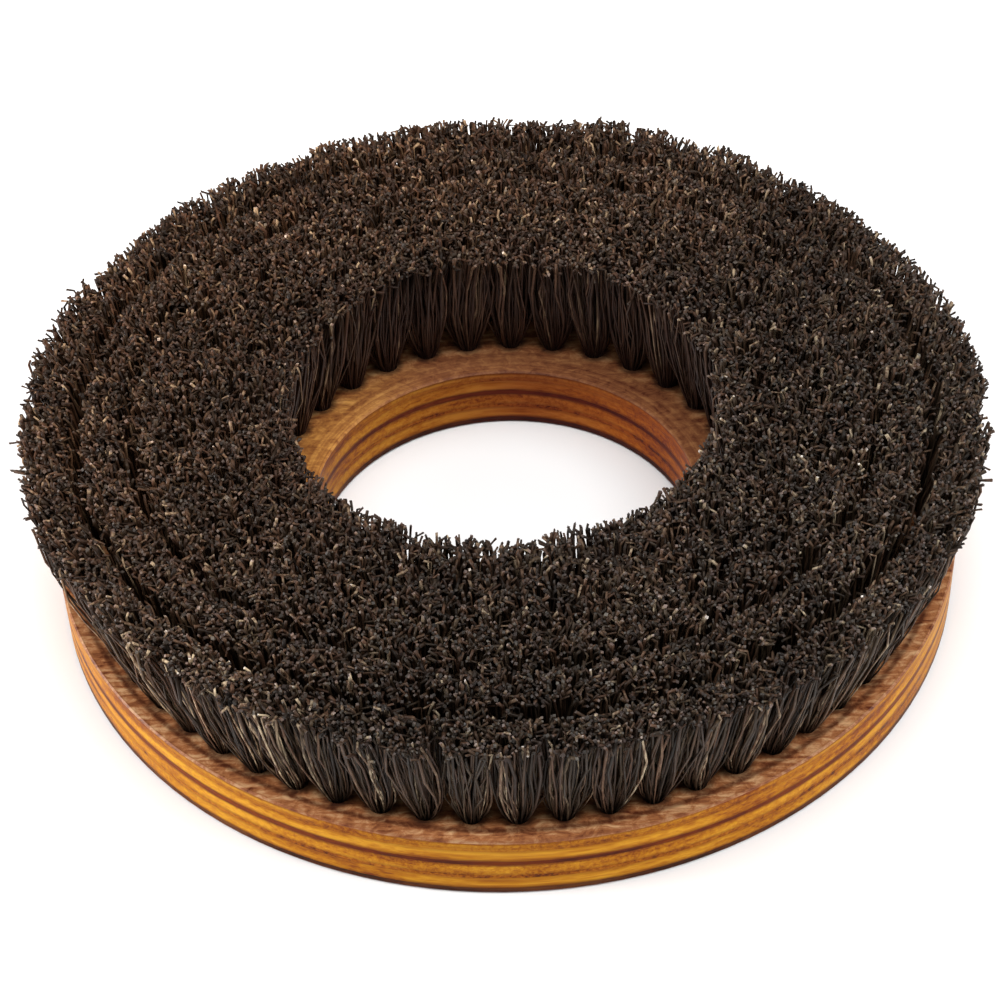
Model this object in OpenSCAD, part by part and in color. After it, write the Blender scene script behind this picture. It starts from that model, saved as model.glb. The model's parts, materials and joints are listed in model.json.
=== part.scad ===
// Rotary scrubbing brush: a laminated plywood disc with five rings of stapled fibre tufts.
// The back face of the disc lies on z = 0, centred on the origin, and the tufts stand up along +Z.

/* [Disc] */
// Outside diameter of the disc
block_d = 305; // [250:1:380]
// Diameter of the centre hole
bore_d = 131; // [90:1:160]
// Thickness of the veneer on the face that holds the bristles
face_ply_t = 0.8; // [0.8:0.1:2]
// Thickness of the dark ply on the back
back_ply_t = 2.4; // [1.5:0.1:2.6]
// Thickness of each of the three lower pale core plies
core_ply_t = 4.7; // [3.6:0.1:6]
// Thickness of the pale core ply under the bristle face, planed thinner than the others
top_core_t = 2; // [1.5:0.1:4]
// Thickness of each of the three dark cross plies
cross_ply_t = 1.5; // [1:0.1:2.5]
// Chamfer that breaks the four sharp edges of the disc
edge_break = 0.5; // [0.2:0.1:0.7]

/* [Rows of tufts] */
// Wood between the edge of the centre hole and the middle of the innermost row
inner_margin = 16.5; // [14:0.5:24]
// Wood between the outside edge of the disc and the middle of the outermost row
outer_margin = 10.5; // [8:0.5:16]
// Distance between neighbouring tuft holes in the innermost row
inner_row_pitch = 15.2; // [12:0.1:20]
// Distance between neighbouring tuft holes in the outermost row
outer_row_pitch = 13.9; // [12:0.1:20]
// Angle at which the innermost row leans outwards, negative towards the centre hole
inner_row_lean = -3.7; // [-6:0.1:4]
// Angle at which the outermost row leans outwards
outer_row_lean = 10; // [0:0.5:14]

/* [Tufts] */
// Diameter of the drilled tuft holes
tuft_hole_d = 7.2; // [5:0.1:8]
// Wood left under the tuft holes
hole_floor = 7.8; // [7:0.1:10]
// Length of fibre that stands out of the disc
trim_h = 48; // [25:1:70]
// Gap between neighbouring tufts at their tips
tip_gap = 0.4; // [0.2:0.1:3]
// Gap all round between a tuft and its hole or its staple
tuft_clearance = 0.05; // [0.02:0.01:0.2]

/* [Staples] */
// Width of the flat staple wire
wire_w = 1.2; // [0.8:0.1:1.6]
// Thickness of the flat staple wire
wire_t = 0.7; // [0.5:0.1:1]
// Gap between a staple's legs and the wall of its tuft hole
leg_wall_gap = 0.5; // [0.3:0.1:0.8]
// Thickness of folded fibre held down under a staple's back
fold_t = 1.5; // [0.5:0.1:3]
// Depth to which the legs bite into the wood under the tuft hole
leg_bite = 4.5; // [2:0.1:5.5]
// Gap all round between a leg and the wood that it is driven into
leg_clearance = 0.02; // [0.01:0.01:0.1]

/* [Screw holes in the back] */
// Number of pilot holes for the screws of a drive plate
pilot_count = 4; // [3:1:8]
// Diameter of a pilot hole
pilot_d = 3.5; // [2.5:0.1:4.5]
// Depth of a pilot hole
pilot_depth = 14; // [8:0.5:16]
// Wood between the edge of the centre hole and the middle of a pilot hole
pilot_margin = 8; // [6:0.5:9]

/* [Hidden] */

ROWS = 5;
// How far a cutting shape runs past the face that it cuts
past = 0.6;
disc_fn = 180;
tuft_fn = 48;

wood_colour = [0.85, 0.60, 0.27];
dark_wood_colour = [0.45, 0.24, 0.10];
veneer_colour = [0.55, 0.36, 0.22];
fibre_colour = [0.16, 0.13, 0.10];
wire_colour = [0.62, 0.63, 0.65];

block_r = block_d / 2;
bore_r = bore_d / 2;
layer_t = core_ply_t + cross_ply_t;
block_t = back_ply_t + 3 * layer_t + top_core_t + face_ply_t;
tip_z = block_t + trim_h;

hole_r = tuft_hole_d / 2;
tuft_r = hole_r - tuft_clearance;
staple_half_w = hole_r - leg_wall_gap;
pilot_circle_r = bore_r + pilot_margin;

// Share of the way from the innermost row, 0, to the outermost row, 1
function row_share(row) = (row - 1) / (ROWS - 1);
function between(first, last, share) = first + (last - first) * share;
function row_r(row) = between(bore_r + inner_margin, block_r - outer_margin, row_share(row));
function row_lean(row) = between(inner_row_lean, outer_row_lean, row_share(row));
function row_pitch(row) = between(inner_row_pitch, outer_row_pitch, row_share(row));
function row_count(row) = floor(2 * PI * row_r(row) / row_pitch(row));

// Radius of the circle through the middles of a row's tips, and the spacing of the tips along it
function tip_circle_r(row) = row_r(row) + trim_h * tan(row_lean(row));
function tip_spacing(row) = 2 * tip_circle_r(row) * sin(180 / row_count(row));
row_tip_spacing = (tip_circle_r(ROWS) - tip_circle_r(1)) / (ROWS - 1);
tip_r = (min([for (row = [1:ROWS]) tip_spacing(row), row_tip_spacing]) - tip_gap) / 2;

// Depth of a row's holes along the drill, below the middle of the hole's mouth
function drill_depth(row) = (block_t - hole_floor) / cos(row_lean(row));

// Height of a core ply's underside, counted from the back, and its thickness
function core_z(index) = back_ply_t + (index - 1) * layer_t;
function core_t(index) = index == 4 ? top_core_t : core_ply_t;
function cross_z(index) = core_z(index) + core_ply_t;

// Puts its children in every hole of a row: origin at the mouth, +Z out along the drill, +X outwards
module at_each_hole(row) {
    for (i = [0:row_count(row) - 1])
        rotate([0, 0, 360 * i / row_count(row)])
            translate([row_r(row), 0, block_t])
                rotate([0, row_lean(row), 0])
                    children();
}

module tuft_holes() {
    for (row = [1:ROWS])
        at_each_hole(row)
            translate([0, 0, -drill_depth(row)])
                cylinder(r = hole_r, h = drill_depth(row) + hole_r + past, $fn = tuft_fn);
}

module leg_slots() {
    for (row = [1:ROWS])
        at_each_hole(row)
            for (side = [-1, 1])
                translate([0, side * (staple_half_w - wire_t / 2), -drill_depth(row) - leg_bite])
                    translate([-wire_w / 2 - leg_clearance, -wire_t / 2 - leg_clearance, -leg_clearance])
                        cube([
                            wire_w + 2 * leg_clearance,
                            wire_t + 2 * leg_clearance,
                            leg_bite + past
                        ]);
}

module pilot_holes() {
    for (i = [0:pilot_count - 1])
        rotate([0, 0, 360 * (i + 0.5) / pilot_count])
            translate([pilot_circle_r, 0, -past])
                cylinder(d = pilot_d, h = pilot_depth + past, $fn = tuft_fn);
}

// Ring of one veneer, its sharp edge broken at the bottom and at the top by the given amounts
module veneer_ring(z, t, bottom_break, top_break) {
    translate([0, 0, z])
        rotate_extrude($fn = disc_fn)
            polygon([
                [bore_r + bottom_break, 0],
                [block_r - bottom_break, 0],
                [block_r, bottom_break],
                [block_r, t - top_break],
                [block_r - top_break, t],
                [bore_r + top_break, t],
                [bore_r, t - top_break],
                [bore_r, bottom_break]
            ]);
}

module plain_ring(z, t) {
    translate([0, 0, z])
        difference() {
            cylinder(r = block_r, h = t, $fn = disc_fn);
            translate([0, 0, -past])
                cylinder(r = bore_r, h = t + 2 * past, $fn = disc_fn);
        }
}

// A veneer with every hole that reaches it
module drilled(z, t) {
    lean_drop = hole_r * sin(max(abs(inner_row_lean), abs(outer_row_lean)));
    difference() {
        children();
        if (z + t > hole_floor - lean_drop) tuft_holes();
        if (z < hole_floor && z + t > hole_floor - leg_bite) leg_slots();
        if (z < pilot_depth) pilot_holes();
    }
}

module back_face_ply() {
    color(veneer_colour)
        drilled(0, back_ply_t)
            veneer_ring(0, back_ply_t, edge_break, 0);
}

module core_ply(index) {
    color(wood_colour)
        drilled(core_z(index), core_t(index))
            plain_ring(core_z(index), core_t(index));
}

module cross_ply(index) {
    color(dark_wood_colour)
        drilled(cross_z(index), cross_ply_t)
            plain_ring(cross_z(index), cross_ply_t);
}

module bristle_face_ply() {
    color(veneer_colour)
        drilled(block_t - face_ply_t, face_ply_t)
            veneer_ring(block_t - face_ply_t, face_ply_t, 0, edge_break);
}

// Places a side view drawn in Y and Z as a plate of the given width on the floor of its hole
module on_hole_floor(row, width) {
    translate([-width / 2, 0, -drill_depth(row)])
        rotate([90, 0, 90])
            linear_extrude(width)
                children();
}

// Staple bent from flat wire: a back that lies over the fold, and two chisel-ended legs in the wood
module staple(row) {
    inside = staple_half_w - wire_t;
    on_hole_floor(row, wire_w)
        polygon([
            [-staple_half_w, fold_t + wire_t],
            [-staple_half_w, wire_t - leg_bite],
            [-inside, -leg_bite],
            [-inside, fold_t],
            [inside, fold_t],
            [inside, -leg_bite],
            [staple_half_w, wire_t - leg_bite],
            [staple_half_w, fold_t + wire_t]
        ]);
}

// Room for a staple inside its tuft, open at the floor of the hole
module staple_room(row) {
    outside = staple_half_w + tuft_clearance;
    inside = staple_half_w - wire_t - tuft_clearance;
    on_hole_floor(row, wire_w + 2 * tuft_clearance)
        polygon([
            [-outside, fold_t + wire_t + tuft_clearance],
            [-outside, -past],
            [-inside, -past],
            [-inside, fold_t - tuft_clearance],
            [inside, fold_t - tuft_clearance],
            [inside, -past],
            [outside, -past],
            [outside, fold_t + wire_t + tuft_clearance]
        ]);
}

// One tuft: fibre folded round its staple, packed in the hole and fanning out above the disc
module tuft(row) {
    mouth = tuft_r * tan(abs(row_lean(row)));
    length = trim_h / cos(row_lean(row));
    slope = (tip_r - tuft_r) / (length - mouth);
    over = tip_r * tan(abs(row_lean(row))) + past;
    difference() {
        rotate_extrude($fn = tuft_fn)
            polygon([
                [0, -drill_depth(row)],
                [tuft_r, -drill_depth(row)],
                [tuft_r, mouth],
                [tip_r + slope * over, length + over],
                [0, length + over]
            ]);
        staple_room(row);
    }
}

// A ring of tufts, cropped level at the tips
module tuft_row(row) {
    color(fibre_colour)
        difference() {
            at_each_hole(row) tuft(row);
            translate([0, 0, tip_z])
                cylinder(r = tip_circle_r(row) + 2 * tip_r, h = trim_h, $fn = disc_fn);
        }
}

module staple_row(row) {
    color(wire_colour)
        at_each_hole(row) staple(row);
}

back_face_ply();
core_ply(1);  // core_ply_1
cross_ply(1);  // cross_ply_1
core_ply(2);  // core_ply_2
cross_ply(2);  // cross_ply_2
core_ply(3);  // core_ply_3
cross_ply(3);  // cross_ply_3
core_ply(4);  // core_ply_4
bristle_face_ply();
tuft_row(1);  // tuft_row_1
tuft_row(2);  // tuft_row_2
tuft_row(3);  // tuft_row_3
tuft_row(4);  // tuft_row_4
tuft_row(5);  // tuft_row_5
staple_row(1);  // staple_row_1
staple_row(2);  // staple_row_2
staple_row(3);  // staple_row_3
staple_row(4);  // staple_row_4
staple_row(5);  // staple_row_5
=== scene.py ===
import json
import math

import bpy
import numpy as np
from mathutils import Matrix, Vector


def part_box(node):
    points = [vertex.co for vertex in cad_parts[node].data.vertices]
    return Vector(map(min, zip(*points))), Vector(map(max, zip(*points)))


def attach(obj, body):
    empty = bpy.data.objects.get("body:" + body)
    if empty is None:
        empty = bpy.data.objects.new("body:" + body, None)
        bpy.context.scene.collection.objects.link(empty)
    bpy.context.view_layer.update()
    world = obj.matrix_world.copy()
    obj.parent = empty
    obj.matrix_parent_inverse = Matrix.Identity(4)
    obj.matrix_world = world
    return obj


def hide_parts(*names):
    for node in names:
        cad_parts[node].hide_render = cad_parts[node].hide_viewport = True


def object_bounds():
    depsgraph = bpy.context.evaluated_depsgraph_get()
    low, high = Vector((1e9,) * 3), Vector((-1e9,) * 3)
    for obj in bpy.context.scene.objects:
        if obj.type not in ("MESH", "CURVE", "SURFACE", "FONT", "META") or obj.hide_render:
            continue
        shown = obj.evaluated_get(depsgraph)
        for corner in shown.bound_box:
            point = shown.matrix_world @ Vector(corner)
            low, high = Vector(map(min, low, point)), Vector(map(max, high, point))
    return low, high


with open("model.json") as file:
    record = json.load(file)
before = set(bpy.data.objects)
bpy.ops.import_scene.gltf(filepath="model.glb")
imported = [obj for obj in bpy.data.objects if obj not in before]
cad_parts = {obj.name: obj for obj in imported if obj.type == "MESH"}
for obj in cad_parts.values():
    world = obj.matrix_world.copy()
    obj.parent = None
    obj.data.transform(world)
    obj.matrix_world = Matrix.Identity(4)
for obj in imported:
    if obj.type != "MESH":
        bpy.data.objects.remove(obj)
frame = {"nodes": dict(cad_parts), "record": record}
CAD_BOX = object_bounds()

MM = 0.001
rng = np.random.default_rng(20261119)

# ---------------------------------------------------------------------------
# Sizes, in metres, in the row frame
# ---------------------------------------------------------------------------
DISC_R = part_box("core_ply_1")[1].x
DISC_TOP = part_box("bristle_face_ply")[1].z
TIP_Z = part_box("tuft_row_5")[1].z
BORE = next(m for m in frame["record"]["mounts"] if m["name"] == "centre_bore")
BORE_R = BORE["dims"]["r_mm"] * MM

# The rows of holes: from the edge to the first and last row, the spacing round them, and their lean
ROWS = 5
INNER_MARGIN = 16.5 * MM
OUTER_MARGIN = 10.5 * MM
INNER_PITCH = 15.2 * MM
OUTER_PITCH = 13.9 * MM
INNER_LEAN = math.radians(-3.7)
OUTER_LEAN = math.radians(10)
HOLE_R = 3.6 * MM
HOLE_FLOOR = 7.8 * MM

# Where the rings of tips lie once the fibres have splayed
TIP_RING_INNER = 78.9 * MM
TIP_RING_OUTER = 150.4 * MM
TIP_RING_PITCH = (TIP_RING_OUTER - TIP_RING_INNER) / (ROWS - 1)
# Half the width of the valley beyond each ring of tips, from the free side at the centre hole outwards
VALLEY = [0, -0.3 * MM, 0, 0.9 * MM, 1.6 * MM, 0]
# How far the tips sink towards those valleys and the two free sides
SINK = [1.4 * MM, 0.3 * MM, 0.6 * MM, 2.4 * MM, 3.6 * MM, 1.4 * MM]


def between(first, last, share):
    return first + (last - first) * share


def row_share(row):
    return (row - 1) / (ROWS - 1)


def row_r(row):
    return between(BORE_R + INNER_MARGIN, DISC_R - OUTER_MARGIN, row_share(row))


def row_lean(row):
    return between(INNER_LEAN, OUTER_LEAN, row_share(row))


def row_count(row):
    return math.floor(2 * math.pi * row_r(row) / between(INNER_PITCH, OUTER_PITCH, row_share(row)))


def tip_ring(row):
    return between(TIP_RING_INNER, TIP_RING_OUTER, row_share(row))


# ---------------------------------------------------------------------------
# Mesh helpers
# ---------------------------------------------------------------------------
def mesh_from(name, verts, loops, starts, smooth, face_values):
    """A mesh from flat arrays: the corners of all faces, where each face starts, and each face's values."""
    mesh = bpy.data.meshes.new(name)
    mesh.vertices.add(len(verts))
    mesh.vertices.foreach_set("co", verts.astype(np.float32).ravel())
    mesh.loops.add(len(loops))
    mesh.loops.foreach_set("vertex_index", loops.astype(np.int32))
    mesh.polygons.add(len(starts))
    mesh.polygons.foreach_set("loop_start", starts.astype(np.int32))
    mesh.polygons.foreach_set("use_smooth", smooth)
    for key, values in face_values.items():
        layer = mesh.attributes.new(key, "FLOAT", "FACE")
        layer.data.foreach_set("value", values.astype(np.float32))
    mesh.update(calc_edges=True)
    mesh.validate()
    obj = bpy.data.objects.new(name, mesh)
    bpy.context.scene.collection.objects.link(obj)
    return obj


def unit(v):
    return v / np.maximum(np.linalg.norm(v, axis=-1, keepdims=True), 1e-12)


# The colour map of a fibre piece: its columns of cells, then the strip and the two ends in each cell
STRIP_COLUMNS = 256
STRIP_X = (0.12, 0.88)
STRIP_Y = (0.03, 0.76)
END_HALF_X = 0.38
FOOT_HIGH = 0.02
TIP_LOW = 0.82
TIP_HIGH = 0.16


def tubes(name, paths, radii, sides, tilt, values):
    """One closed tube for each path: paths is N x K x 3, radii N x K, and tilt N slants the cut ends."""
    n, k, _ = paths.shape
    tangent = np.empty_like(paths)
    tangent[:, 1:-1] = paths[:, 2:] - paths[:, :-2]
    tangent[:, 0] = paths[:, 1] - paths[:, 0]
    tangent[:, -1] = paths[:, -1] - paths[:, -2]
    tangent = unit(tangent)
    roll = rng.uniform(0, 2 * np.pi, n)
    ref = np.stack([np.cos(roll), np.sin(roll), np.zeros(n)], -1)[:, None, :]
    side_a = unit(np.cross(tangent, np.broadcast_to(ref, tangent.shape)))
    side_b = np.cross(tangent, side_a)
    phi = np.arange(sides) * 2 * np.pi / sides
    ring = (
        side_a[:, :, None, :] * np.cos(phi)[None, None, :, None]
        + side_b[:, :, None, :] * np.sin(phi)[None, None, :, None]
    )
    verts = paths[:, :, None, :] + ring * radii[:, :, None, None]
    slant = np.cos(phi)[None, :] * (radii[:, -1] * tilt)[:, None]
    verts[:, -1] += tangent[:, -1][:, None, :] * slant[:, :, None]
    index = np.arange(n * k * sides).reshape(n, k, sides)
    nxt = np.roll(index, -1, axis=2)
    quads = np.stack([index[:, :-1], nxt[:, :-1], nxt[:, 1:], index[:, 1:]], -1).reshape(n, -1, 4)
    n_quads = quads.shape[1]
    bottom = index[:, 0, ::-1]
    top = index[:, -1]
    loops = np.concatenate([quads.reshape(n, -1), bottom, top], axis=1)
    sizes = np.concatenate([np.full(n_quads, 4), [sides, sides]])
    starts = np.concatenate([[0], np.cumsum(sizes)[:-1]])
    starts = (starts[None, :] + (np.arange(n) * sizes.sum())[:, None]).ravel()
    smooth = np.tile(np.concatenate([np.ones(n_quads, bool), [False, False]]), n)
    end = np.tile(np.concatenate([np.zeros(n_quads + 1), [1]]), n)
    face_values = {"end": end}
    for key, value in values.items():
        face_values[key] = np.repeat(value, n_quads + 2)
    piece = mesh_from(name, verts.reshape(-1, 3), loops.ravel(), starts, smooth, face_values)
    strip_map(piece.data, n, k, sides)
    return piece


def strip_map(mesh, n, k, sides):
    """Gives each fibre a cell of the colour map: one strip that its sides share, and a patch for each end."""
    cell = np.arange(n)
    strip_rows = math.ceil(n / STRIP_COLUMNS)
    corner = np.stack([cell % STRIP_COLUMNS / STRIP_COLUMNS, cell // STRIP_COLUMNS / strip_rows], -1)
    size = np.array([1 / STRIP_COLUMNS, 1 / strip_rows])
    low = between(*STRIP_Y, np.arange(k - 1) / (k - 1))
    high = low + (STRIP_Y[1] - STRIP_Y[0]) / (k - 1)
    left, right = (np.full(k - 1, x) for x in STRIP_X)
    round_quad = [(left, low), (right, low), (right, high), (left, high)]
    quad = np.stack([np.stack(pair, -1) for pair in round_quad], 1)
    quads = np.repeat(quad[:, None], sides, axis=1).reshape(-1, 2)
    phi = np.arange(sides) * 2 * np.pi / sides
    disc = np.stack([0.5 + END_HALF_X * np.cos(phi), 0.5 + 0.5 * np.sin(phi)], -1)
    foot = disc * np.array([1, FOOT_HIGH])
    tip = np.array([0, TIP_LOW]) + disc * np.array([1, TIP_HIGH])
    one = np.concatenate([quads, foot, tip])
    spots = corner[:, None] + one[None] * size
    layer = mesh.uv_layers.new(name="OFBake")
    layer.data.foreach_set("uv", spots.astype(np.float32).ravel())


# ---------------------------------------------------------------------------
# Fibres
# ---------------------------------------------------------------------------
FIBRES_PER_TUFT = 124
CLUMPS_PER_TUFT = 7
FIBRE_SIDES = 4
FIBRE_R_HOLE = 0.22 * MM
FIBRE_R_TIP = 0.47 * MM
GOLDEN_ANGLE = math.pi * (3 - math.sqrt(5))
# Where the rings of each fibre lie above the mouth of its hole, as shares of the fibre that stands out
RING_SHARES = np.array([0.0, 0.11, 0.25, 0.43, 0.67, 0.94, 1.0])

# In the hole: unevenness, the gap to its wall, half the staple's width, and the lift off its floor
PLACE_NOISE = 0.05
WALL_GAP = 0.15 * MM
STAPLE_HALF = 1.0 * MM
FLOOR_LIFT = 0.3 * MM
# Clumps at the tips: how hard and how far they pull, and how much they differ
CLUMP_PULL = 0.34
CLUMP_REACH = 0.6
CLUMP_RISE = 0.55 * MM
CLUMP_SHIFT = 0.7 * MM
CLUMP_TONE = 0.035
# The two free sides of the brush are calmer, and each tuft stands out there by a share of its own
FREE_CALM = 0.45
FREE_REACH, FREE_REACH_NOISE = 0.97, 0.10
FREE_SPREAD, MAT_SPREAD = 0.94, 1.12
# The valleys widen and narrow round the disc
WOBBLE = 0.8
WOBBLE_SEED = 70
WOBBLE_WAVES = (2, 3, 7)
# Single fibres: some stray sideways and some are cut short
STRAY_ABOVE = 0.92
STRAY_LOOSE = 3.6
OUTWARD_NOISE = 0.5 * MM
SIDEWAYS_NOISE = 1.4 * MM
TUFT_SIDEWAYS_NOISE = 0.9 * MM
SHORT_ABOVE = 0.965
SHORT_BY = (1, 6)
# The trimmed face: how far it lies below the highest tips, and its unevenness
TRIM_BELOW = 0.6 * MM
TUFT_RISE = 0.45 * MM
CUT_NOISE = 0.3 * MM
# The flare at the mouth: where each fibre heads for, at this height over it, and its weight
FLARE_Z = 14 * MM
FLARE_OUT = (1.2, 3.0)
FLARE_SIDEWAYS = (1.6, 5.2)
FLARE_NOISE = 2.0 * MM
FLARE_WEIGHT = 0.75
TOP_STIFF = 0.85
TOP_NOISE = 0.20
# Crimp, bent ends and thickness
CRIMP_WAVES = (0.8, 2.4)
CRIMP_SHAPE, CRIMP_SIZE = 2.0, 0.36 * MM
BEND_SHAPE, BEND_SIZE = 3.0, 0.55 * MM
BEND_TIP = 0.75
BEND_BACK = 0.25
THICKNESS_SPREAD = 0.2
TAPER = 0.8


def slow_noise(angle, seed, waves):
    """A smooth value between about -1 and 1 that varies with the angle round the disc."""
    draw = np.random.default_rng(seed)
    total = np.zeros_like(angle)
    for w in waves:
        total += np.cos(w * angle + draw.uniform(0, 2 * np.pi))
    return total / len(waves)


def fibre_paths(row):
    """A row's fibres: their paths and radii, their clump's tone, and their tuft's angle round the disc."""
    count = row_count(row)
    n = count * FIBRES_PER_TUFT

    def each(per_tuft):
        return np.repeat(per_tuft, FIBRES_PER_TUFT, axis=0)

    tuft = each(np.arange(count))
    k = np.tile(np.arange(FIBRES_PER_TUFT), count)
    rad = np.sqrt((k + 0.5) / FIBRES_PER_TUFT)
    ang = k * GOLDEN_ANGLE + each(rng.uniform(0, 2 * np.pi, count))
    u = rad * np.cos(ang) + rng.normal(0, PLACE_NOISE, n)
    v = rad * np.sin(ang) + rng.normal(0, PLACE_NOISE, n)
    over = np.maximum(np.hypot(u, v), 1)
    u, v = u / over, v / over

    # Place in the hole: x outwards, y round the disc. Each half of the fold passes its side of the staple
    pack = HOLE_R - FIBRE_R_HOLE - WALL_GAP
    hole_x, hole_y = u * pack, v * pack
    deep_x = np.where(u < 0, -1, 1) * np.maximum(np.abs(hole_x), STAPLE_HALF)

    # Place at the tips: the round bundle spreads evenly over a square cell, and gathers in clumps
    reach = np.hypot(u, v)
    wide = np.abs(u) >= np.abs(v)
    turn = np.arctan2(np.where(wide, v, u), np.where(wide, u, v) + 1e-9)
    turn = (turn + np.pi / 2) % np.pi - np.pi / 2
    major = np.where(wide, np.sign(u), np.sign(v)) * reach
    minor = major * turn * 4 / np.pi
    u_tip, v_tip = np.where(wide, major, minor), np.where(wide, minor, major)
    clump_at = rng.uniform(-1, 1, (count, CLUMPS_PER_TUFT, 2))
    gap = np.hypot(u_tip[:, None] - each(clump_at[:, :, 0]), v_tip[:, None] - each(clump_at[:, :, 1]))
    clump = np.argmin(gap, axis=1)
    pull = CLUMP_PULL * np.exp(-(np.min(gap, axis=1) / CLUMP_REACH) ** 2)
    u_tip += (clump_at[tuft, clump, 0] - u_tip) * pull
    v_tip += (clump_at[tuft, clump, 1] - v_tip) * pull
    free_side = (row == ROWS) & (u_tip > 0) | (row == 1) & (u_tip < 0)
    calm = np.where(free_side, FREE_CALM, 1.0)
    clump_rise = rng.normal(0, CLUMP_RISE, (count, CLUMPS_PER_TUFT))[tuft, clump] * calm
    clump_shift = rng.normal(0, CLUMP_SHIFT, (count, CLUMPS_PER_TUFT, 2))[tuft, clump]
    clump_tone = rng.normal(0, CLUMP_TONE, (count, CLUMPS_PER_TUFT))[tuft, clump]

    tuft_angle = 2 * np.pi * tuft / count
    wobble = 1 + WOBBLE * slow_noise(tuft_angle, WOBBLE_SEED + row, WOBBLE_WAVES)
    inner_half = TIP_RING_PITCH / 2 - VALLEY[row - 1] * wobble
    outer_half = TIP_RING_PITCH / 2 - VALLEY[row] * wobble
    half = np.where(u_tip > 0, outer_half, inner_half)
    free_reach = each(rng.normal(FREE_REACH, FREE_REACH_NOISE, count))
    half = half * np.where(free_side, free_reach, 1)
    stray = rng.random(n) > STRAY_ABOVE
    loose = np.where(stray, STRAY_LOOSE, 1.0)
    outwards = (clump_shift[:, 0] + rng.normal(0, OUTWARD_NOISE, n)) * calm
    tip_r = tip_ring(row) + u_tip * half + outwards
    sideways = (rng.normal(0, SIDEWAYS_NOISE, n) * loose + clump_shift[:, 1]) * calm
    sideways += each(rng.normal(0, TUFT_SIDEWAYS_NOISE, count))
    spread = np.where(free_side, FREE_SPREAD, MAT_SPREAD)
    tip_a = tuft_angle + v_tip * spread * np.pi / count + sideways / tip_r

    # Height of the cut end: trimmed level, lower towards the valleys and the free sides
    sink = np.where(u_tip > 0, SINK[row], SINK[row - 1])
    drop = sink * np.abs(u_tip) ** 4
    tuft_rise = each(rng.normal(0, TUFT_RISE, count))
    cut = TIP_Z - TRIM_BELOW - drop + tuft_rise + clump_rise + rng.normal(0, CUT_NOISE, n) * calm
    short = rng.random(n) > SHORT_ABOVE
    cut -= short * rng.uniform(*SHORT_BY, n) * MM

    lean = row_lean(row)
    cos_l, sin_l = math.cos(lean), math.sin(lean)
    depth = (DISC_TOP - HOLE_FLOOR) / cos_l
    ca, sa = np.cos(tuft_angle), np.sin(tuft_angle)

    def from_hole(x, y, z):
        """A point given in the drilled hole's own frame, taken to the row frame."""
        out = row_r(row) + x * cos_l + z * sin_l
        up = DISC_TOP - x * sin_l + z * cos_l
        return np.stack([out * ca - y * sa, out * sa + y * ca, up], -1)

    deep = from_hole(deep_x, hole_y, np.full(n, -depth + FLOOR_LIFT))
    mouth = from_hole(hole_x, hole_y, np.zeros(n))
    tip = np.stack([tip_r * np.cos(tip_a), tip_r * np.sin(tip_a), cut], -1)

    # A Hermite curve from the mouth to the tip: it flares at the mouth and straightens above
    span = np.linalg.norm(tip - mouth, axis=-1, keepdims=True)
    straight = unit(tip - mouth)
    open_x = hole_x * rng.uniform(*FLARE_OUT, n)
    open_y = hole_y * rng.uniform(*FLARE_SIDEWAYS, n) + rng.normal(0, FLARE_NOISE, n)
    flare = unit(from_hole(open_x, open_y, np.full(n, FLARE_Z)) - mouth)
    t0 = unit(flare * FLARE_WEIGHT + straight * (1 - FLARE_WEIGHT)) * span
    t1 = straight * span * TOP_STIFF + rng.normal(0, TOP_NOISE, (n, 3)) * span * np.array([1, 1, 0])
    s = RING_SHARES[None, :, None]
    body = (
        (2 * s**3 - 3 * s**2 + 1) * mouth[:, None]
        + (s**3 - 2 * s**2 + s) * t0[:, None]
        + (-2 * s**3 + 3 * s**2) * tip[:, None]
        + (s**3 - s**2) * t1[:, None]
    )

    # Crimp: a small sideways wave along each fibre
    phase = rng.uniform(0, 2 * np.pi, (n, 1))
    waves = rng.uniform(*CRIMP_WAVES, (n, 1))
    size = rng.gamma(CRIMP_SHAPE, CRIMP_SIZE, (n, 1))
    way = rng.uniform(0, 2 * np.pi, n)
    fade_in = np.sin(np.pi * np.minimum(RING_SHARES * 1.2, 1) / 2)
    shape = np.sin(phase + waves * 2 * np.pi * RING_SHARES[None, :]) * size * fade_in
    side = np.stack([np.cos(way), np.sin(way), np.zeros(n)], -1)
    body += side[:, None, :] * shape[:, :, None]

    # Most ends are bent over, some of them far, so that the face of the brush is a mat of short curls
    bend_way = rng.uniform(0, 2 * np.pi, n)
    bend = rng.gamma(BEND_SHAPE, BEND_SIZE, n)
    push = np.stack([np.cos(bend_way), np.sin(bend_way)], -1) * bend[:, None]
    body[:, -1, :2] += push * BEND_TIP
    body[:, -2, :2] -= push * BEND_BACK
    body[:, -1, 2] -= bend * BEND_TIP

    paths = np.concatenate([deep[:, None], body], axis=1)
    thick = rng.lognormal(0, THICKNESS_SPREAD, n)[:, None]
    shares = np.concatenate([[0.0], RING_SHARES])
    radii = between(FIBRE_R_HOLE, FIBRE_R_TIP, shares ** TAPER)[None, :] * thick
    return paths, radii, clump_tone, tuft_angle


# Kinds of fibre in the mix: share of the fibres, and the two shape values of the spread of its tones
KINDS = {"black": (0.40, 3.0, 10.0), "brown": (0.40, 3.5, 8.5), "tan": (0.20, 2.2, 4.2)}
# Where round the outermost row pale fibres are commoner
BLOND_AT = math.radians(236)
BLOND_WIDTH = math.radians(15)
BLOND_ABOVE = 0.9
BLOND_LIFT = 0.5
END_SLANT = 0.5

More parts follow.
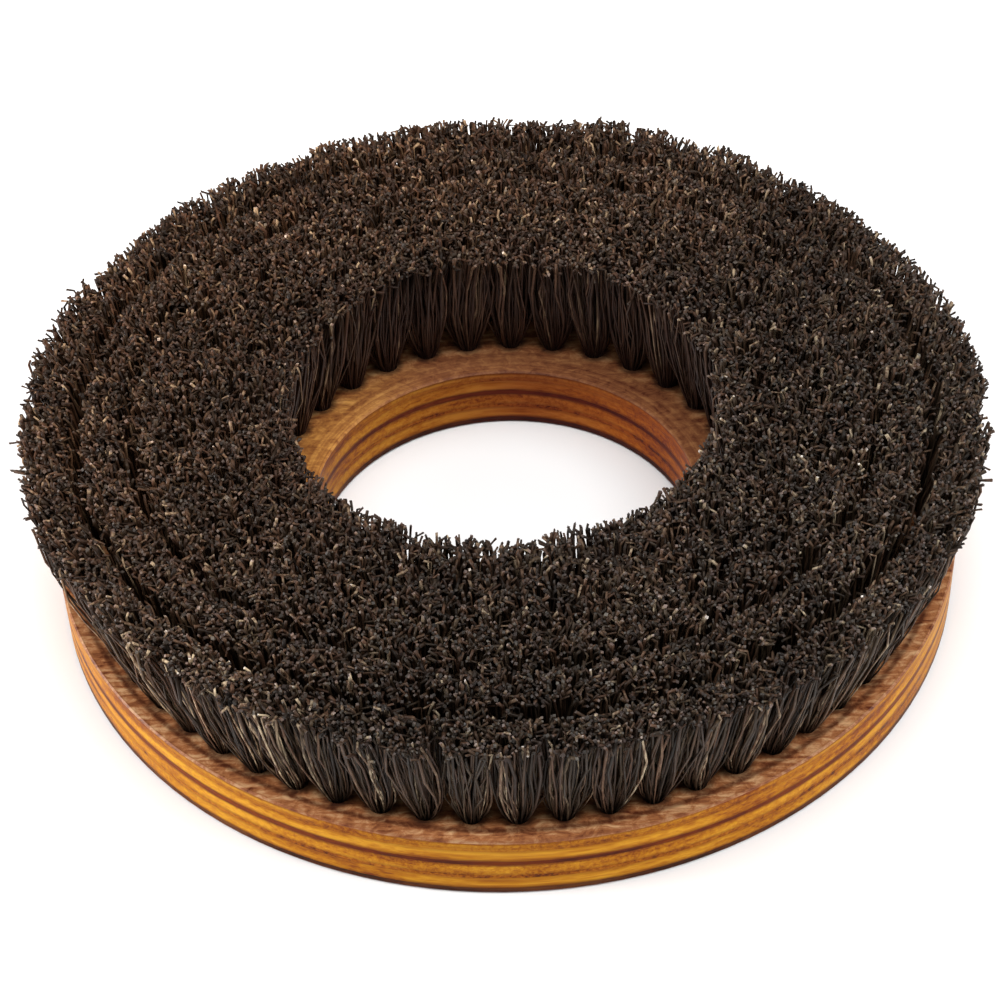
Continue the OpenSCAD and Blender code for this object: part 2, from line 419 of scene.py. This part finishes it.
row_pieces = []
for row in range(1, ROWS + 1):
    paths, radii, clump_tone, angle = fibre_paths(row)
    n = len(paths)
    near_blond = np.exp(-(((angle - BLOND_AT) / BLOND_WIDTH) ** 2))
    blond = near_blond * (rng.random(n) > BLOND_ABOVE) * (row == ROWS)
    tilt = rng.normal(0, END_SLANT, n)
    draw = rng.random(n)
    first = 0.0
    for kind, (share, rise, fall) in KINDS.items():
        pick = (draw >= first) & (draw < first + share)
        first += share
        tone = np.clip(rng.beta(rise, fall, n) + clump_tone + BLOND_LIFT * blond, 0.01, 1)
        name = f"row_{row}_{kind}_fibre"
        piece = tubes(name, paths[pick], radii[pick], FIBRE_SIDES, tilt[pick], {"tone": tone[pick]})
        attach(piece, "root")
        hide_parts(f"tuft_row_{row}")
        row_pieces.append(piece)


# ---------------------------------------------------------------------------
# Materials
# ---------------------------------------------------------------------------
class Nodes:
    """Short calls for building one material's node tree."""

    def __init__(self, name):
        self.material = bpy.data.materials.new(name)
        self.material.use_nodes = True
        self.tree = self.material.node_tree
        self.bsdf = self.tree.nodes["Principled BSDF"]

    def add(self, kind, settings=None, **inputs):
        node = self.tree.nodes.new(kind)
        for key, value in (settings or {}).items():
            setattr(node, key, value)
        for key, value in inputs.items():
            self.put(node, key, value)
        return node

    def put(self, node, key, value):
        socket = node.inputs[int(key)] if key.isdigit() else node.inputs[key]
        if isinstance(value, bpy.types.NodeSocket):
            self.tree.links.new(value, socket)
        else:
            socket.default_value = value

    def math(self, operation, a, b=None, c=None):
        node = self.tree.nodes.new("ShaderNodeMath")
        node.operation = operation
        for i, value in enumerate((a, b, c)):
            if value is not None:
                self.put(node, str(i), value)
        return node.outputs[0]

    def ramp(self, factor, stops):
        node = self.tree.nodes.new("ShaderNodeValToRGB")
        elements = node.color_ramp.elements
        while len(elements) < len(stops):
            elements.new(0.5)
        for element, (place, colour) in zip(elements, stops):
            element.position = place
            element.color = (*colour, 1)
        self.put(node, "0", factor)
        return node.outputs[0]

    def mix(self, factor, a, b, blend="MIX"):
        node = self.tree.nodes.new("ShaderNodeMix")
        node.data_type = "RGBA"
        node.blend_type = blend
        self.put(node, "0", factor)
        for index, value in ((6, a), (7, b)):
            if isinstance(value, tuple):
                value = (*value, 1)
            self.put(node, str(index), value)
        return node.outputs[2]

    def noise(self, vector, scale, detail=3, roughness=0.55, distortion=0.0):
        node = self.add("ShaderNodeTexNoise", Scale=scale, Detail=detail, Roughness=roughness)
        self.put(node, "Distortion", distortion)
        self.put(node, "Vector", vector)
        return node.outputs[0]

    def scaled(self, vector, scale):
        node = self.add("ShaderNodeMapping", Scale=scale)
        self.put(node, "Vector", vector)
        return node.outputs[0]

    def attribute(self, name):
        node = self.add("ShaderNodeAttribute", {"attribute_name": name})
        return node.outputs["Fac"]

    def grey(self, value):
        """A number as a colour."""
        node = self.tree.nodes.new("ShaderNodeCombineColor")
        for i in range(3):
            self.put(node, str(i), value)
        return node.outputs[0]

    def range(self, value, low, high, out_low=0.0, out_high=1.0, smooth=False):
        curve = "SMOOTHSTEP" if smooth else "LINEAR"
        node = self.add("ShaderNodeMapRange", {"clamp": True, "interpolation_type": curve})
        for index, v in enumerate((value, low, high, out_low, out_high)):
            self.put(node, str(index), v)
        return node.outputs[0]


def object_place(m):
    """The point in the row frame, whole and split."""
    place = m.add("ShaderNodeTexCoord").outputs["Object"]
    split = m.add("ShaderNodeSeparateXYZ")
    m.put(split, "Vector", place)
    return place, split


def distance_from_axis(m, split):
    square_x = m.math("MULTIPLY", split.outputs["X"], split.outputs["X"])
    square_y = m.math("MULTIPLY", split.outputs["Y"], split.outputs["Y"])
    return m.math("SQRT", m.math("ADD", square_x, square_y))


# Heights and radii over which painted shade darkens the fibres: at the foot, below the tips, and beside the
# bore
FOOT_HEIGHT = 13 * MM
TIP_SHADE_DEPTH = (14 * MM, 2 * MM)
BORE_SHADE_OUT = (27 * MM, 17 * MM)
BORE_SHADE_DEPTH = (1 * MM, 12 * MM)
BORE_SHADE = (0.030, 0.016, 0.014)
FIBRE_SHINE = 0.13


def fibre_material(name, warm, lift):
    """Stiff plant fibre: streaked sides, painted shade at the foot and below the tips, and paler cut ends."""
    m = Nodes(name)
    place, split = object_place(m)
    tone = m.attribute("tone")
    end = m.attribute("end")
    streak = m.noise(m.scaled(place, (1, 1, 0.12)), 900, 2)
    shade = m.math("MULTIPLY", tone, m.range(streak, 0.3, 0.7, 0.6, 1.4))
    side = m.ramp(shade, [
        (0.0, (0.012, 0.008, 0.006)),
        (0.25, (0.041 * warm, 0.027, 0.017)),
        (0.5, (0.100 * warm, 0.067, 0.040)),
        (1.0, (0.60, 0.49, 0.33)),
    ])
    z = split.outputs["Z"]
    # Painted shade: the sides are darker down at the foot of the tuft, among the bristles.
    foot = m.range(z, DISC_TOP, DISC_TOP + FOOT_HEIGHT, 0.30, 1.0, smooth=True)
    # Painted shade: the sides darken towards the tips, where the fibres shade the gaps between the cut ends.
    tip_shade = m.range(z, *(TIP_Z - depth for depth in TIP_SHADE_DEPTH), 1.0, 0.62, smooth=True)
    # The painted shade at the foot and below the tips, times the kind's own lightness.
    shade_and_lift = m.math("MULTIPLY", m.math("MULTIPLY", foot, tip_shade), lift)
    side = m.mix(1.0, side, m.grey(shade_and_lift), "MULTIPLY")
    by_bore = m.range(distance_from_axis(m, split), *(BORE_R + out for out in BORE_SHADE_OUT), 0.0, 0.6)
    below_tips = m.range(z, *(TIP_Z - depth for depth in BORE_SHADE_DEPTH))
    side = m.mix(m.math("MULTIPLY", by_bore, below_tips), side, BORE_SHADE)
    pith = m.noise(place, 1400, 2)
    # The cut ends are paler than the sides, and the palest, near-white cut ends are painted glints.
    cut = m.ramp(m.math("ADD", m.math("MULTIPLY", tone, 0.9), m.range(pith, 0.3, 0.7, 0.0, 0.25)), [
        (0.0, (0.012, 0.010, 0.009)),
        (0.35, (0.036 * warm, 0.031, 0.027)),
        (0.75, (0.14 * warm, 0.125, 0.105)),
        (1.0, (0.70, 0.66, 0.60)),
    ])
    colour = m.mix(end, side, cut)
    broad = m.noise(place, 14, 2)
    colour = m.mix(1.0, colour, m.grey(m.range(broad, 0.3, 0.7, 0.78, 1.25)), "MULTIPLY")
    # Painted light: towards the back left the fibres are made lighter and warmer, as though lit more strongly
    # from that side.
    lean = m.math("SUBTRACT", split.outputs["Y"], split.outputs["X"])
    colour = m.mix(m.range(lean, -0.12, 0.2), colour, (1.35, 1.08, 0.88), "MULTIPLY")
    m.put(m.bsdf, "Base Color", colour)
    m.put(m.bsdf, "Roughness", m.range(streak, 0.3, 0.7, 0.34, 0.6))
    m.put(m.bsdf, "Specular IOR Level", FIBRE_SHINE)
    bump = m.add("ShaderNodeBump", Strength=0.35, Distance=0.0001)
    m.put(bump, "Height", streak)
    m.put(m.bsdf, "Normal", bump.outputs[0])
    return m.material


FIBRE_LOOKS = {
    "black": fibre_material("fibre_black", 1.0, 0.9),
    "brown": fibre_material("fibre_brown", 1.15, 1.0),
    "tan": fibre_material("fibre_tan", 1.25, 1.0),
}
for piece in row_pieces:
    piece.data.materials.append(FIBRE_LOOKS[piece.name.split("_")[2]])


def finish_wood(m, colour, streak, height, shine):
    m.put(m.bsdf, "Base Color", colour)
    m.put(m.bsdf, "Roughness", m.range(streak, 0.3, 0.7, 0.34, 0.54))
    m.put(m.bsdf, "Specular IOR Level", shine)
    bump = m.add("ShaderNodeBump", Strength=0.5, Distance=0.0002)
    m.put(bump, "Height", height)
    m.put(m.bsdf, "Normal", bump.outputs[0])
    return m.material


GLUE = (0.10, 0.014, 0.002)
# How far a glue line fades into its ply, and how far it wanders from level
GLUE_FADE = 1.4 * MM
GLUE_WARP = 1.0 * MM
# Noise cells a metre along the grain, across it, and through the ply
GRAIN_ALONG, GRAIN_ACROSS, GRAIN_THROUGH = 26.0, 560.0, 728.0
# The wood in the bore: shaded in its middle, and lit from the left at its right
BORE_DIM = (0.62, 0.40, 0.95)
BORE_LIT = (1.05, 0.68, 1.0)
PLY_SHINE = 0.06
VENEER_SHINE = 0.12


def wood_material(name, node, grain, stops, contrast, top_line, low_line):
    """A ply: streaks along the grain, spots at its ends, dark glue lines, and painted shade and light in the
    bore that also make it redder.
    """
    low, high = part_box(node)
    m = Nodes(name)
    place, split = object_place(m)
    scale = (GRAIN_ALONG, GRAIN_ACROSS, GRAIN_THROUGH)
    if grain == "y":
        scale = (GRAIN_ACROSS, GRAIN_ALONG, GRAIN_THROUGH)
    streak = m.noise(m.scaled(place, scale), 1.0, 4, 0.6, 0.4)
    broad = m.noise(m.scaled(place, (26, 26, 190)), 1.0, 3)
    fine = m.noise(m.scaled(place, tuple(3.2 * c for c in scale)), 1.0, 2)
    value = m.math("MULTIPLY_ADD", m.math("SUBTRACT", streak, 0.5), contrast, 0.5)
    for noise, weight in ((broad, 1.3), (fine, 0.35)):
        value = m.math("MULTIPLY_ADD", m.math("SUBTRACT", noise, 0.5), weight * contrast, value)
    colour = m.ramp(value, [(0.08, stops[0]), (0.45, stops[1]), (0.85, stops[2])])
    bend = m.noise(m.scaled(place, (60, 60, 60)), 1.0, 3)
    z = m.math("MULTIPLY_ADD", m.math("SUBTRACT", bend, 0.5), GLUE_WARP, split.outputs["Z"])
    top_edge = m.math("MULTIPLY", m.range(z, high.z - GLUE_FADE, high.z, smooth=True), top_line)
    low_edge = m.math("MULTIPLY", m.range(z, low.z + GLUE_FADE, low.z, smooth=True), low_line)
    patchy = m.range(broad, 0.35, 0.6, 0.5, 1.0)
    glued = m.math("MULTIPLY", m.math("MAXIMUM", top_edge, low_edge), patchy)
    colour = m.mix(glued, colour, GLUE)
    near_bore = m.range(distance_from_axis(m, split), BORE_R + 8 * MM, BORE_R + 1 * MM)
    from_left = m.range(split.outputs["X"], -0.9 * BORE_R, 0.1 * BORE_R, 0.15, 1.0)
    lit = m.range(split.outputs["X"], 0.25 * BORE_R, 0.8 * BORE_R)
    shade = m.mix(lit, BORE_DIM, BORE_LIT)
    inside = m.math("MULTIPLY", near_bore, from_left)
    colour = m.mix(inside, colour, m.mix(1.0, colour, shade, "MULTIPLY"))
    return finish_wood(m, colour, streak, value, PLY_SHINE)


# How far the painted shade round a hole reaches past its edge, from full to none
HOLE_SHADE_FULL, HOLE_SHADE_NONE = 0.4 * MM, 3.2 * MM


def hole_stain(m, split, row):
    """1 in and beside the holes of a row, 0 away from them: where painted shade goes round the tufts."""
    count = row_count(row)
    turn = m.math("ARCTAN2", split.outputs["Y"], split.outputs["X"])
    share = m.math("MULTIPLY", turn, count / (2 * math.pi))
    off = m.math("SUBTRACT", share, m.math("ROUND", share))
    sideways = m.math("MULTIPLY", off, 2 * math.pi * row_r(row) / count)
    outwards = m.math("SUBTRACT", distance_from_axis(m, split), row_r(row))
    square = m.math("ADD", m.math("MULTIPLY", sideways, sideways), m.math("MULTIPLY", outwards, outwards))
    return m.range(m.math("SQRT", square), HOLE_R + HOLE_SHADE_NONE, HOLE_R + HOLE_SHADE_FULL, smooth=True)


# The veneer's colours from dark to pale, outside the bristles and beside the bore
OUTER_VENEER = [(0.37, (0.12, 0.026, 0.011)), (0.5, (0.42, 0.160, 0.060)), (0.62, (0.72, 0.42, 0.21))]
INNER_VENEER = [(0.36, (0.08, 0.018, 0.010)), (0.5, (0.22, 0.080, 0.032)), (0.64, (0.38, 0.17, 0.065))]
LEFT_LIGHT_TINT = (1.9, 2.1, 1.3)
RING_COLOUR = (0.075, 0.018, 0.008)
HOLE_SHADE_COLOUR = (0.022, 0.010, 0.007)
# The dark ring: how far it lies from the edge, and its half width from full to none
RING_FROM_EDGE = 4.6 * MM
RING_FULL, RING_NONE = 0.2 * MM, 1.6 * MM


def face_veneer_material():
    """The veneer under the bristles: mottled and reddish, darker in among the tufts, partly as painted shade,
    with painted shade round the holes and painted light at the left of the bore.
    """
    m = Nodes("bristle_face_wood")
    place, split = object_place(m)
    radius = distance_from_axis(m, split)
    streak = m.noise(m.scaled(place, (60, 420, 400)), 1.0, 4, 0.6, 0.5)
    blotch = m.noise(m.scaled(place, (230, 330, 300)), 1.0, 5, 0.7, 0.8)
    turned = m.add("ShaderNodeCombineXYZ")
    m.put(turned, "X", m.math("MULTIPLY", radius, 620.0))
    m.put(turned, "Y", m.math("MULTIPLY", split.outputs["X"], 14.0))
    ringed = m.noise(turned.outputs[0], 1.0, 3, 0.6)
    by_bore = m.range(radius, BORE_R + 13 * MM, BORE_R + 5 * MM, 0.0, 0.8)
    streak = m.mix(by_bore, m.grey(streak), m.grey(ringed))
    value = m.math("ADD", m.math("MULTIPLY", blotch, 0.5), m.math("MULTIPLY", streak, 0.5))
    outer = m.ramp(value, OUTER_VENEER)
    inner = m.ramp(value, INNER_VENEER)
    # Painted light: the veneer beside the bore is made yellower and lighter at its left, where the light
    # falls.
    at_left = m.range(split.outputs["X"], -0.3 * BORE_R, -1.1 * BORE_R, smooth=True)
    lit_at_left = m.mix(at_left, inner, LEFT_LIGHT_TINT, "MULTIPLY")
    colour = m.mix(m.range(radius, BORE_R + 10 * MM, BORE_R + 20 * MM), lit_at_left, outer)
    # Partly dirt and partly painted shade: the veneer in among the tufts is darkened, fading out towards the
    # outer edge and towards the bore.
    outer_dirt_and_shade = m.range(radius, DISC_R - 12 * MM, DISC_R - 6 * MM, 0.36, 1.0, smooth=True)
    shaded = m.range(radius, BORE_R + 18 * MM, BORE_R + 12 * MM, 0.12, 1.0, smooth=True)
    colour = m.mix(1.0, colour, m.grey(m.math("MAXIMUM", outer_dirt_and_shade, shaded)), "MULTIPLY")
    off_ring = m.math("ABSOLUTE", m.math("SUBTRACT", radius, DISC_R - RING_FROM_EDGE))
    ring = m.range(off_ring, RING_NONE, RING_FULL, smooth=True)
    ring = m.math("MULTIPLY", ring, m.range(blotch, 0.35, 0.6, 0.95, 0.6))
    rim = m.range(radius, DISC_R - 1.2 * MM, DISC_R - 0.2 * MM, smooth=True)
    rim = m.math("MULTIPLY", rim, 0.45)
    colour = m.mix(m.math("MAXIMUM", ring, rim), colour, RING_COLOUR)
    # Painted shade round the holes of the innermost and outermost rows, patchy with the blotches.
    hole_shade = m.math("MAXIMUM", hole_stain(m, split, 1), hole_stain(m, split, ROWS))
    hole_shade = m.math("MULTIPLY", hole_shade, m.range(blotch, 0.3, 0.6, 0.95, 0.6))
    colour = m.mix(hole_shade, colour, HOLE_SHADE_COLOUR)
    return finish_wood(m, colour, streak, value, VENEER_SHINE)


def dress(node, material):
    obj = frame["nodes"][node]
    obj.data.materials.clear()
    obj.data.materials.append(material)


# Colours from the darkest to the palest
# The back ply's colours are painted very dark, as the shade along the disc's bottom edge by the floor.
BACK_PLY_IN_SHADE = [(0.02, 0.006, 0.002), (0.055, 0.014, 0.004), (0.12, 0.038, 0.010)]
CORE = [(0.19, 0.040, 0.003), (0.41, 0.150, 0.006), (0.57, 0.27, 0.018)]
CROSS_LOW = [(0.07, 0.012, 0.002), (0.27, 0.070, 0.003), (0.45, 0.16, 0.008)]
CROSS_MID = [(0.045, 0.007, 0.001), (0.11, 0.017, 0.002), (0.20, 0.040, 0.003)]
CROSS_HIGH = [(0.14, 0.030, 0.003), (0.33, 0.105, 0.005), (0.48, 0.19, 0.010)]
# Each ply: its grain, its colours, their contrast, and how dark its top and bottom glue lines are
PLIES = {
    "back_face_ply": ("x", BACK_PLY_IN_SHADE, 1.3, 0.0, 0.6),
    "core_ply_1": ("x", CORE, 1.3, 0.45, 0.85),
    "cross_ply_1": ("y", CROSS_LOW, 1.9, 0.3, 0.3),
    "core_ply_2": ("y", CORE, 1.3, 1.0, 0.5),
    "cross_ply_2": ("x", CROSS_MID, 1.3, 0.3, 0.3),
    "core_ply_3": ("x", CORE, 1.3, 0.35, 1.0),
    "cross_ply_3": ("y", CROSS_HIGH, 1.3, 0.3, 0.3),
    "core_ply_4": ("y", CORE, 1.3, 0.75, 0.4),
}
for node, look in PLIES.items():
    dress(node, wood_material(node.replace("ply", "wood"), node, *look))
dress("bristle_face_ply", face_veneer_material())


def steel_material():
    m = Nodes("staple_steel")
    place, _ = object_place(m)
    drawn = m.noise(m.scaled(place, (300, 300, 300)), 1.0, 3)
    m.put(m.bsdf, "Base Color", m.ramp(drawn, [(0.3, (0.28, 0.27, 0.26)), (0.7, (0.55, 0.55, 0.56))]))
    m.put(m.bsdf, "Metallic", 1.0)
    m.put(m.bsdf, "Roughness", m.range(drawn, 0.3, 0.7, 0.3, 0.5))
    return m.material


steel = steel_material()
for row in range(1, ROWS + 1):
    dress(f"staple_row_{row}", steel)

# ---------------------------------------------------------------------------
# Floor, light and camera
# ---------------------------------------------------------------------------
FLOOR_HALF = 3.0
FLOOR_GAP = 0.2 * MM
FLOOR_TONES = [(0.3, (0.93, 0.93, 0.93)), (0.7, (0.96, 0.96, 0.96))]
floor_mesh = bpy.data.meshes.new("floor")
corners = [(x * FLOOR_HALF, y * FLOOR_HALF, 0) for x, y in ((-1, -1), (1, -1), (1, 1), (-1, 1))]
floor_mesh.from_pydata(corners, [], [(0, 1, 2, 3)])
floor = bpy.data.objects.new("floor", floor_mesh)
bpy.context.scene.collection.objects.link(floor)
floor.location.z = CAD_BOX[0][2] - FLOOR_GAP
floor_look = Nodes("floor_white")
floor_place = floor_look.add("ShaderNodeTexCoord").outputs["Object"]
floor_tone = floor_look.noise(floor_place, 3.0, 2)
floor_look.put(floor_look.bsdf, "Base Color", floor_look.ramp(floor_tone, FLOOR_TONES))
floor_look.put(floor_look.bsdf, "Roughness", 0.9)
floor_mesh.materials.append(floor_look.material)

scene = bpy.context.scene
scene.view_settings.view_transform = "Standard"
world = bpy.data.worlds.new("studio")
world.use_nodes = True
sky = world.node_tree.nodes["Background"]
sky.inputs["Color"].default_value = (1, 1, 1, 1)
sky.inputs["Strength"].default_value = 0.35
scene.world = world


def softbox(name, place, aim, size, power):
    light = bpy.data.lights.new(name, "AREA")
    light.shape = "DISK"
    light.size = size
    light.energy = power
    obj = bpy.data.objects.new(name, light)
    scene.collection.objects.link(obj)
    obj.location = place
    obj.rotation_euler = (Vector(aim) - Vector(place)).to_track_quat("-Z", "Y").to_euler()


softbox("overhead", (0.1, -0.15, 1.25), (0, 0, 0.05), 1.3, 18)
softbox("left", (-1.3, -0.05, 0.36), (0, 0, 0.03), 0.6, 23)
softbox("right", (1.25, -0.35, 0.55), (0, 0, 0.03), 0.8, 11)

# The camera stands in front of the object (-Y) and looks down at it
ELEVATION = math.radians(42.87)
ROLL = math.radians(-2.047)
TARGET = Vector((-2.01, -2.75, 24.02)) * MM
DISTANCE = 861.95 * MM
LENS = 91.04
SENSOR = 36
back = Vector((0, -math.cos(ELEVATION), math.sin(ELEVATION)))
right = Vector((1, 0, 0))
up = back.cross(right)
image_x = right * math.cos(ROLL) + up * math.sin(ROLL)
image_y = -right * math.sin(ROLL) + up * math.cos(ROLL)
camera_data = bpy.data.cameras.new("camera")
camera_data.lens = LENS
camera_data.sensor_width = SENSOR
camera = bpy.data.objects.new("camera", camera_data)
scene.collection.objects.link(camera)
rotation = Matrix((image_x, image_y, back)).transposed().to_4x4()
camera.matrix_world = Matrix.Translation(TARGET + back * DISTANCE) @ rotation
scene.camera = camera
